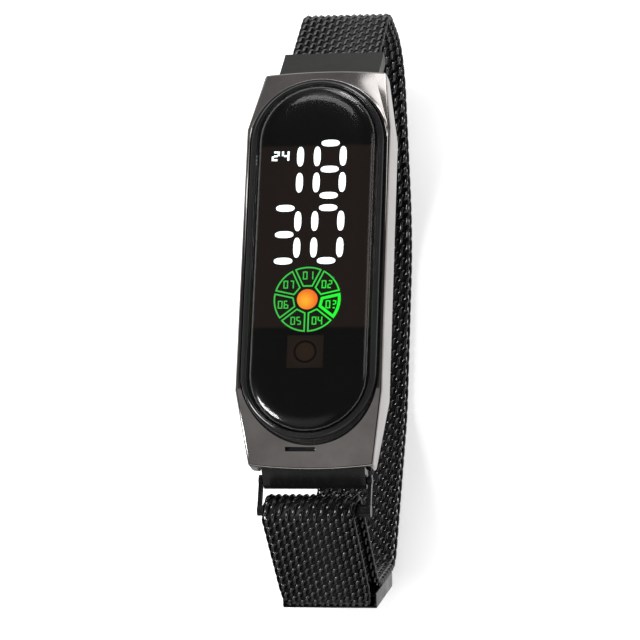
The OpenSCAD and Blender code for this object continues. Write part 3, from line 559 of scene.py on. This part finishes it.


# Display. Light wells behind a dark film: white bars, green day sectors and an orange pulse light, each
# a diffuser lit from the board and brightest over its chip. The brown touch pad, the disc under the
# wheel and the film give off a faint painted glow in their own colours, brown over the board where it
# lies behind the film.
FILM_TOP = 7.55
WHEEL = (-0.56, -5.86, FILM_TOP)
# Colours of the painted glow: where the board shows through the film, and of the film itself.
BOARD_PAINTED_GLOW = (0.0125, 0.0082, 0.0062)
FILM_PAINTED_GLOW = (0.0012, 0.0011, 0.0010)
BOARD_X = (-7.3, 7.3)
BOARD_Y = (-9.7, 15.5)
BOARD_BLUR = 0.2


def refinish(cad_name, finish):
    """Gives a CAD node a new material in every slot."""
    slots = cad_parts[cad_name].data.materials
    if len(slots) == 0:
        slots.append(finish)
    for k in range(len(slots)):
        slots[k] = finish


def lit_black(name, level):
    """A black finish without shine that gives off light. Returns it with its node tree, its shader and
    the socket that gives a point's place."""
    finish = bpy.data.materials.new(name)
    finish.use_nodes = True
    tree = finish.node_tree
    shader = tree.nodes["Principled BSDF"]
    shader.inputs["Base Color"].default_value = (0.001, 0.001, 0.001, 1)
    shader.inputs["Roughness"].default_value = 0.6
    shader.inputs["Specular IOR Level"].default_value = 0.0
    shader.inputs["Emission Strength"].default_value = level
    coords = node(tree, "ShaderNodeTexCoord")
    return finish, tree, shader, coords.outputs["Object"]


def mix_light(tree, shader, share, first, second):
    """Makes the light the first colour where the share is 0, the second where it is 1."""
    mix = node(tree, "ShaderNodeMix", data_type="RGBA")
    mix.inputs["A"].default_value = (*first, 1)
    mix.inputs["B"].default_value = (*second, 1)
    tree.links.new(share, mix.inputs["Factor"])
    tree.links.new(mix.outputs["Result"], shader.inputs["Emission Color"])


def glowing(name, near, far, centre, reach, level):
    """A diffuser whose light fades from one colour at a centre to another at a distance from it."""
    finish, tree, shader, place = lit_black(name, level)
    away = node(tree, "ShaderNodeVectorMath", operation="DISTANCE")
    away.inputs[1].default_value = [v * MM for v in centre]
    tree.links.new(place, away.inputs[0])
    share = mapped(tree, away.outputs["Value"], (0.0, reach * MM, 0.0, 1.0),
                   interpolation_type="SMOOTHSTEP")
    mix_light(tree, shader, share, near, far)
    return finish


def film_with_painted_glow():
    """The dark film, which gives off a faint painted glow: brown in a rectangle over the board behind it
    and near black elsewhere. The brown share is a ramp from 0 to 1 at each low side, times one from 1 to
    0 at each high side."""
    finish, tree, shader, place = lit_black("film_painted_glow", 1.0)
    split = node(tree, "ShaderNodeSeparateXYZ")
    tree.links.new(place, split.inputs[0])
    share = 1.0
    for axis, (low, high) in (("X", BOARD_X), ("Y", BOARD_Y)):
        for side, ends in ((low, (0.0, 1.0)), (high, (1.0, 0.0))):
            ramp = mapped(tree, split.outputs[axis],
                          ((side - BOARD_BLUR) * MM, (side + BOARD_BLUR) * MM, *ends))
            share = combined(tree, "MULTIPLY", ramp, share)
    mix_light(tree, shader, share, FILM_PAINTED_GLOW, BOARD_PAINTED_GLOW)
    return finish


white_light = glowing("white_light", (0.93, 1.0, 1.0), (0.80, 0.98, 1.0),
                      (-1.1, 7.6, FILM_TOP), 14.0, 2.2)
green_light = glowing("green_light", (0.012, 1.0, 0.03), (0.045, 0.55, 0.07),
                      (3.0, -6.6, FILM_TOP), 5.5, 1.25)
orange_light = glowing("orange_light", (1.0, 0.46, 0.03), (0.93, 0.16, 0.02),
                       (-0.80, -6.05, FILM_TOP), 1.75, 1.15)
refinish("digit_lights", white_light)
refinish("number_light", white_light)
refinish("weekday_lights", green_light)
refinish("pulse_light", orange_light)
# The touch pad is no lamp: its faint brown glow, brightest at its middle, is painted light.
refinish("touch_pad", glowing("touch_brown", (0.024, 0.014, 0.008), (0.014, 0.009, 0.006),
                              (-0.56, -13.0, FILM_TOP), 2.6, 1.0))
refinish("display_film", film_with_painted_glow())
# The disc under the wheel is no lamp: its faint glow, green at the middle and board brown further out,
# is painted light.
refinish("wheel_disc", glowing("wheel_painted_glow", (0.004, 0.012, 0.004), BOARD_PAINTED_GLOW, WHEEL, 4.6, 1.0))
refinish("unlit_segments", plated("milky_diffuser", (0.35, 0.35, 0.35), 0.5, metallic=0.0))
refinish("light_frame", plated("moulded_black", (0.025, 0.025, 0.027), 0.45, grain=0.05, metallic=0.0))


# Inside. A circuit board under green solder mask with its chips soldered on, and a coin cell held
# between two sprung brass contacts.
refinish("main_board", plated("solder_mask", (0.03, 0.16, 0.06), 0.3, metallic=0.0))
refinish("led_chips", plated("chip_cream", (0.8, 0.75, 0.5), 0.4, metallic=0.0))
refinish("controller_chip", plated("chip_black", (0.02, 0.02, 0.022), 0.5, grain=0.08, metallic=0.0))
refinish("crystal", plated("tinned_can", (0.7, 0.7, 0.71), 0.25))
refinish("coin_cell", plated("cell_steel", (0.66, 0.66, 0.68), 0.28))
brass = plated("sprung_brass", (0.8, 0.6, 0.25), 0.3)
refinish("battery_clip", brass)
refinish("battery_spring", brass)


# Back. The capsule's tub is moulded in gloss black and its rear cover in matt black with a fine
# spark-eroded grain. Four small screws hold the cover on its gasket.
refinish("capsule_shell", plated("gloss_black_tub", (0.035, 0.034, 0.034), 0.12, grain=0.003,
                                 spread=0.03, metallic=0.0, index=1.75))
moulded = plated("matt_black_moulding", (0.022, 0.022, 0.024), 0.42, grain=0.10, metallic=0.0)
softened("rear_cover", "cover_plate", 0.12, moulded, "case")
refinish("rear_gasket", plated("gasket_rubber", (0.02, 0.02, 0.02), 0.7, grain=0.1, metallic=0.0))
bright = plated("turned_steel", (0.62, 0.62, 0.64), 0.22)
refinish("rear_screws", bright)


# Spring bars. A turned steel tube with a pin at each end. Between the pins runs a coil spring, made in
# two halves.
SPRING_WIRE = 0.07
SPRING_PITCH = 0.34
SPRING_STEPS = 14
SPRING_SIDES = 6


def closed_tubes(name, tubes):
    """A mesh of tubes with flat ends, from an array of corners by tube, ring, corner and axis. The
    number of a corner is (tube times rings + ring) times sides + corner, and quads join each ring to
    the next."""
    count, rings, sides = tubes.shape[:3]
    points = tubes.reshape(-1, 3) * MM
    tube, ring, corner = (v.ravel() for v in np.meshgrid(
        np.arange(count), np.arange(rings - 1), np.arange(sides), indexing="ij"))
    here = (tube * rings + ring) * sides + corner
    beside = (tube * rings + ring) * sides + (corner + 1) % sides
    quads = np.stack([here, beside, beside + sides, here + sides], 1)
    starts = np.arange(count)[:, None] * rings * sides
    first = starts + np.arange(sides)[::-1]
    last = starts + (rings - 1) * sides + np.arange(sides)
    corners = np.concatenate([quads.ravel(), first.ravel(), last.ravel()])
    sizes = np.concatenate([np.full(len(quads), 4), np.full(2 * count, sides)])
    mesh = bpy.data.meshes.new(name)
    mesh.vertices.add(len(points))
    mesh.vertices.foreach_set("co", points.ravel())
    mesh.loops.add(len(corners))
    mesh.loops.foreach_set("vertex_index", corners.astype(np.int32))
    mesh.polygons.add(len(sizes))
    mesh.polygons.foreach_set("loop_start", (np.cumsum(sizes) - sizes).astype(np.int32))
    mesh.polygons.foreach_set("loop_total", sizes.astype(np.int32))
    mesh.polygons.foreach_set("use_smooth", np.ones(len(sizes), bool))
    mesh.update(calc_edges=True)
    mesh.validate()
    return mesh


def half_spring(name, end, side):
    """A round wire wound from the bar's middle to a pin: at angle t the wire's middle is at pitch times
    t / 2 pi along the bar and on a circle of the coil's radius about it."""
    low, high = (np.array(v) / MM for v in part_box(f"{end}_bar_spring"))
    middle = (low + high) / 2
    reach, coil = high[0] - SPRING_WIRE, (high[2] - low[2]) / 2 - SPRING_WIRE
    turns = reach / SPRING_PITCH
    t = np.linspace(0, 2 * math.pi * turns, int(turns * SPRING_STEPS))
    outward = np.stack([np.zeros(len(t)), np.cos(t), np.sin(t)], 1)
    line = middle + coil * outward
    line[:, 0] = side * SPRING_PITCH * t / (2 * math.pi)
    along = np.tile([[1.0, 0.0, 0.0]], (len(t), 1))
    angle = np.linspace(0, 2 * math.pi, SPRING_SIDES, endpoint=False)[:, None]
    tube = line[:, None] + SPRING_WIRE * (np.cos(angle) * outward[:, None]
                                          + np.sin(angle) * along[:, None])
    mesh = closed_tubes(name, tube[None])
    if side < 0:
        mesh.flip_normals()
    piece = keep_mesh(name, mesh, bright, None, f"{end}_bar_spring")
    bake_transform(piece)


for end in ("upper", "lower"):
    for part in ("bar_tube", "left_tip", "right_tip"):
        refinish(f"{end}_{part}", bright)
    half_spring(f"{end}_spring_left", end, -1)
    half_spring(f"{end}_spring_right", end, 1)


# Links. Folded and brazed steel end pieces that turn on the spring bars, plated black: the upper one
# matt, the lower one gloss. The upper one grips the mesh, the lower one carries the ring's pin.
matt_plate = plated("matt_black_plating", (0.014, 0.014, 0.013), 0.42, grain=0.03, metallic=0.0,
                    index=1.42)
gloss_plate = plated("gloss_black_plating", (0.007, 0.007, 0.0075), 0.24, metallic=0.0, index=1.38)
softened("upper_link", "upper_link_body", 0.16, matt_plate, "strap")
softened("lower_link", "lower_link_body", 0.12, gloss_plate, "lower_link")
softened("ring_pin", "ring_pin_body", 0.06, gloss_plate, "lower_link")


# Ring. A small rectangular buckle ring bent from steel wire and strip, plated gloss black, with knobs
# at the ends of its crossbar. The mesh is folded over the crossbar.
softened("buckle_ring", "ring_body", 0.09, gloss_plate, "ring")


# Mesh. Flattened steel coils across the band, each screwed into the last, with pressed edges, plated
# gloss black. The band runs from the upper link round the wrist, over the crossbar and back on itself
# to the clasp. Its middle line is drawn in the side view as (y, z), with angles from y towards z.
UPPER_BAR = np.array([26.1, 2.0])
LINK_TILT = 40.0
LINK_OFFSET = 0.25
LINK_REACH = 5.3
SHOULDER_OUT = 16.2
SHOULDER_LEVEL = -25.7
BACK_SLOPE = 32.6
BACK_LEVEL = -40.9
HEEL_SLOPE = -17.2
CLASP_SLOPE = -67.5
CLASP_RUN = 15.6
LAYER_SLOPE = 66.7
LAYER_RUN = 20.1
CROSSBAR = np.array([-32.4, 0.0])
FOLD_MIDDLE = 1.65
TAIL_OFFSET = 1.69
TAIL_REACH = 4.3
PATH_STEP = 0.1
LEAST_ARC_POINTS = 8
FOLD_STEPS = 60
HEADING_REACH = 0.15
MESH_WIDTH = 12.4
MESH_THICKNESS = 1.2
ROW_STEP = 0.95
WIRE_RADIUS = 0.235
COIL_PITCH = 1.86
COIL_HALF_HEIGHT = 0.80
COIL_LEAN = 0.14
COIL_FLAT = 1 / 18
COIL_SIDES = 8
COIL_STEPS = 15
EDGE_BAR = (0.20, 0.40)
EDGE_SWELL = 0.5
EDGE_SIDES = 12
EDGE_STEP = ROW_STEP / 8
CORE_MARGIN = 0.55
CORE_HALF = 0.22
CORE_STEP = 0.35
LEAST_SECTIONS = 4
BAND_INSET = 0.3
FOLD_SHIFT = -0.6
END_TAPER = 0.07
END_TAPER_FROM = 8.5
END_TAPER_RUN = 5.0


def heading(degrees):
    """Unit direction in the side view, from y towards z."""
    a = math.radians(degrees)
    return np.array([math.cos(a), math.sin(a)])


def left_of(direction):
    """The direction turned a quarter turn to the left."""
    return np.array([-direction[1], direction[0]])


def crossing(point, direction, other, other_direction):
    """Where two lines of the side view cross."""
    side = left_of(other_direction)
    return point + direction * (np.dot(other - point, side) / np.dot(direction, side))


def rounded_path(corners):
    """Points along straight legs joined by arcs. Each corner is cut where its arc touches both legs, at
    radius times the tangent of half the turn."""
    points = [corners[0][0]]
    for (a, _), (b, radius), (c, _) in zip(corners[:-2], corners[1:-1], corners[2:]):
        arrive = (b - a) / np.linalg.norm(b - a)
        leave = (c - b) / np.linalg.norm(c - b)
        turn = math.atan2(arrive[0] * leave[1] - arrive[1] * leave[0], np.dot(arrive, leave))
        cut = radius * math.tan(abs(turn) / 2)
        start = b - arrive * cut
        count = max(LEAST_ARC_POINTS, int(abs(turn) * radius / PATH_STEP))
        sweep = np.linspace(0, turn, count)
        side = left_of(arrive) * math.copysign(1, turn)
        arc = (start + side * radius)[None] + radius * (
            np.sin(np.abs(sweep))[:, None] * arrive - np.cos(sweep)[:, None] * side)
        points.extend(arc)
    points.append(corners[-1][0])
    return np.array(points)


link_run = heading(-LINK_TILT)
layer_run = heading(180 + LAYER_SLOPE)
layer_side = heading(90 + LAYER_SLOPE)
clasp_run = heading(CLASP_SLOPE)
clasp_side = heading(CLASP_SLOPE - 90)
level_run = heading(0)
upright_run = heading(90)
strap_start = UPPER_BAR + LINK_OFFSET * heading(90 - LINK_TILT) + LINK_REACH * link_run
shoulder = np.array([UPPER_BAR[0] + SHOULDER_OUT, SHOULDER_LEVEL])
inner_end = CROSSBAR - FOLD_MIDDLE * layer_side
clasp_corner = inner_end + LAYER_RUN * layer_run
heel = clasp_corner + CLASP_RUN * clasp_run
back_line = np.array([0.0, BACK_LEVEL])
tail_start = CROSSBAR + FOLD_MIDDLE * layer_side
tail_corner = crossing(tail_start, layer_run, clasp_corner + TAIL_OFFSET * clasp_side, clasp_run)
# Each corner: its place and the radius that rounds it
strap_corners = [
    (strap_start, 0),
    (crossing(strap_start, link_run, shoulder, upright_run), 6),
    (shoulder, 12),
    (crossing(shoulder, heading(180 + BACK_SLOPE), back_line, level_run), 26),
    (crossing(heel, heading(HEEL_SLOPE), back_line, level_run), 20),
    (heel, 5),
    (clasp_corner, 10),
    (inner_end, 0),
]
tail_corners = [(tail_start, 0), (tail_corner, 3), (tail_corner + TAIL_REACH * clasp_run, 0)]


def whole_path():
    """The band's middle line: strap, half turn over the crossbar, tail; with the lengths at which the
    half turn starts and ends."""
    strap = rounded_path(strap_corners)
    tail = rounded_path(tail_corners)
    turn = np.linspace(0, math.pi, FOLD_STEPS)[1:-1, None]
    fold = CROSSBAR - FOLD_MIDDLE * (np.cos(turn) * layer_side + np.sin(turn) * layer_run)
    points = np.concatenate([strap, fold, tail])
    length = np.concatenate([[0], np.cumsum(np.linalg.norm(np.diff(points, axis=0), axis=1))])
    return points, length, length[len(strap) - 1], length[len(strap) + len(fold)]


def on_path(points, length, s):
    """Places at lengths s, by even interpolation, and headings from just before to just after."""
    place = np.stack([np.interp(s, length, points[:, k]) for k in (0, 1)], -1)
    ahead = np.stack([np.interp(s + HEADING_REACH, length, points[:, k]) for k in (0, 1)], -1)
    behind = np.stack([np.interp(s - HEADING_REACH, length, points[:, k]) for k in (0, 1)], -1)
    run = ahead - behind
    return place, run / np.linalg.norm(run, axis=-1, keepdims=True)


def drift(s, fold_from, fold_to):
    """Sideways shift of the band at lengths s: none before the fold, full after it, and eased between
    by 3 t squared less 2 t cubed."""
    t = np.clip((s - fold_from) / (fold_to - fold_from), 0, 1)
    return FOLD_SHIFT * t * t * (3 - 2 * t)


def narrowing(s, length):
    """Share of the full width at lengths s: 1 but for the band's end, where it falls by a share that
    grows with the square of the way into the end's stretch."""
    t = np.clip((s - length[-1] + END_TAPER_FROM) / END_TAPER_RUN, 0, 1)
    return 1 - END_TAPER * t * t


def coils(name, rows, path):
    """One closed tube for each row. At turn t a coil is at pitch times t / 2 pi less its lean times
    sin 2t across the width, sin t times its half height along the band and cos t, flattened by a share
    of cos 3t, times its half depth through it; every second row is half a pitch on."""
    points, length, fold_from, fold_to = path
    half_turn = math.pi * (MESH_WIDTH - 2 * EDGE_BAR[0]) / COIL_PITCH
    t = np.linspace(-half_turn, half_turn, int(half_turn / math.pi * COIL_STEPS) + 1)
    phase = t[None, :] + math.pi * (rows[:, None] % 2)
    x = COIL_PITCH * t[None, :] / (2 * math.pi) - COIL_LEAN * np.sin(2 * phase)
    s = rows[:, None] * ROW_STEP + COIL_HALF_HEIGHT * np.sin(phase)
    x = x * narrowing(s, length) + drift(s, fold_from, fold_to)
    place, run = on_path(points, length, s)
    side = np.stack([-run[..., 1], run[..., 0]], -1)
    wave = (np.cos(phase) - COIL_FLAT * np.cos(3 * phase)) / (1 - COIL_FLAT)
    depth = (MESH_THICKNESS / 2 - WIRE_RADIUS) * wave
    middle = np.concatenate([x[..., None], place + side * depth[..., None]], 2)
    along = np.gradient(middle, axis=1)
    along /= np.linalg.norm(along, axis=2, keepdims=True)
    outward = np.concatenate([np.zeros((*s.shape, 1)), side], 2)
    outward -= along * np.sum(outward * along, 2, keepdims=True)
    outward /= np.linalg.norm(outward, axis=2, keepdims=True)
    across = np.cross(along, outward)
    angle = np.linspace(0, 2 * math.pi, COIL_SIDES, endpoint=False)[:, None]
    tube = middle[:, :, None] + WIRE_RADIUS * (np.cos(angle) * outward[:, :, None]
                                               + np.sin(angle) * across[:, :, None])
    return closed_tubes(name, tube)


def strips(name, outlines, start, end, path, step, swell):
    """Closed bars along the band's middle line: each outline, points (across, through) in order, is
    carried from one length to another along the path and closed at both ends. A swell shrinks it
    about its own middle by up to that share, in beads of one for every two rows."""
    points, length, fold_from, fold_to = path
    s = np.linspace(start, end, max(LEAST_SECTIONS, int((end - start) / step)))
    bead = 1 - swell * (1 - np.abs(np.sin(math.pi * s / (2 * ROW_STEP)))) ** 2
    place, run = on_path(points, length, s)
    side = np.stack([-run[:, 1], run[:, 0]], -1)
    mesh = bpy.data.meshes.new(name)
    shape = bmesh.new()
    for outline in outlines:
        corners = np.array(outline)
        count = len(corners)
        centre = corners.mean(axis=0)
        beaded = centre + (corners - centre)[None] * bead[:, None, None]
        x = beaded[..., 0] * narrowing(s, length)[:, None] + drift(s, fold_from, fold_to)[:, None]
        middle = place[:, None] + side[:, None] * beaded[..., 1, None]
        points_out = np.concatenate([x[..., None], middle], 2).reshape(-1, 3) * MM
        i, k = np.meshgrid(np.arange(len(s) - 1), np.arange(count), indexing="ij")
        i, k = i.ravel(), k.ravel()
        after = (k + 1) % count
        faces = np.stack([i * count + k, i * count + after, (i + 1) * count + after,
                          (i + 1) * count + k], 1)
        last = count * (len(s) - 1)
        ends = [list(range(count))[::-1], list(range(last, last + count))]
        part = bpy.data.meshes.new("one_strip")
        part.from_pydata(points_out.tolist(), [], faces.tolist() + ends)
        shape.from_mesh(part)
        bpy.data.meshes.remove(part)
    bmesh.ops.recalc_face_normals(shape, faces=shape.faces)
    shape.to_mesh(mesh)
    shape.free()
    for polygon in mesh.polygons:
        polygon.use_smooth = len(polygon.vertices) == 4
    return mesh


def core_outline():
    """The four corners of the flat black sheet through the band's middle, whose black is painted shade
    between the coils.
    """
    half = MESH_WIDTH / 2 - CORE_MARGIN
    return [(-half, -CORE_HALF), (half, -CORE_HALF), (half, CORE_HALF), (-half, CORE_HALF)]


def edge_outline(side):
    """An ellipse at one edge of the band, where the coils' ends are pressed and ground to a bar."""
    turn = np.linspace(0, 2 * math.pi, EDGE_SIDES, endpoint=False)
    middle = side * (MESH_WIDTH / 2 - EDGE_BAR[0])
    return np.stack([middle + EDGE_BAR[0] * np.cos(turn), EDGE_BAR[1] * np.sin(turn)], 1)


def over_fold(piece):
    """Bakes the place of a piece of the fold into its mesh."""
    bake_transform(piece)


path = whole_path()
_, length, fold_from, fold_to = path
all_rows = np.arange(1, int(length[-1] / ROW_STEP))
row_at = all_rows * ROW_STEP
half_way = fold_from / 2
wire_black = plated("black_wire", (0.13, 0.13, 0.135), 0.2, spread=0.05)
edge_black = plated("edge_wire", (0.022, 0.022, 0.023), 0.42, spread=0.05)
# A black sheet through the band's middle stands for coils that lie closer than these and stops light
# through the gaps; its black is painted shade inside the weave.
core_shade_black = plated("core_painted_shade", (0.004, 0.004, 0.004), 0.5, metallic=0.0)
for name, chosen, body, node_name in (
        ("mesh_shoulder", row_at < half_way, "strap", "strap_mesh"),
        ("mesh_back", (row_at >= half_way) & (row_at < fold_from), "strap", "strap_mesh"),
        ("mesh_fold", (row_at >= fold_from) & (row_at < fold_to), None, "strap_fold"),
        ("mesh_tail", row_at >= fold_to, "tail", "strap_tail")):
    piece = keep_mesh(name, coils(name, all_rows[chosen], path), wire_black, body,
                      node_name)
    if body is None:
        over_fold(piece)
for name, start, end, body, node_name in (
        ("band", BAND_INSET, fold_from, "strap", "strap_mesh"),
        ("fold", fold_from, fold_to, None, "strap_fold"),
        ("tail", fold_to, length[-1] - BAND_INSET, "tail", "strap_tail")):
    for kind, outlines, finish, step, swell in (
            ("core", [core_outline()], core_shade_black, CORE_STEP, 0.0),
            ("edges", [edge_outline(-1), edge_outline(1)], edge_black, EDGE_STEP, EDGE_SWELL)):
        title = f"{name}_{kind}"
        piece = keep_mesh(title, strips(title, outlines, start, end, path, step, swell), finish, body,
                          node_name)
        if body is None:
            over_fold(piece)


# Clasp. A flat steel shell, plated gloss black, that grips the mesh's end. Two magnets behind a matt
# black steel plate hold it against the band.
softened("clasp_housing", "clasp_shell", 0.42, gloss_plate, "tail", steps=4)
refinish("clasp_plate", matt_plate)
refinish("clasp_magnets", bright)
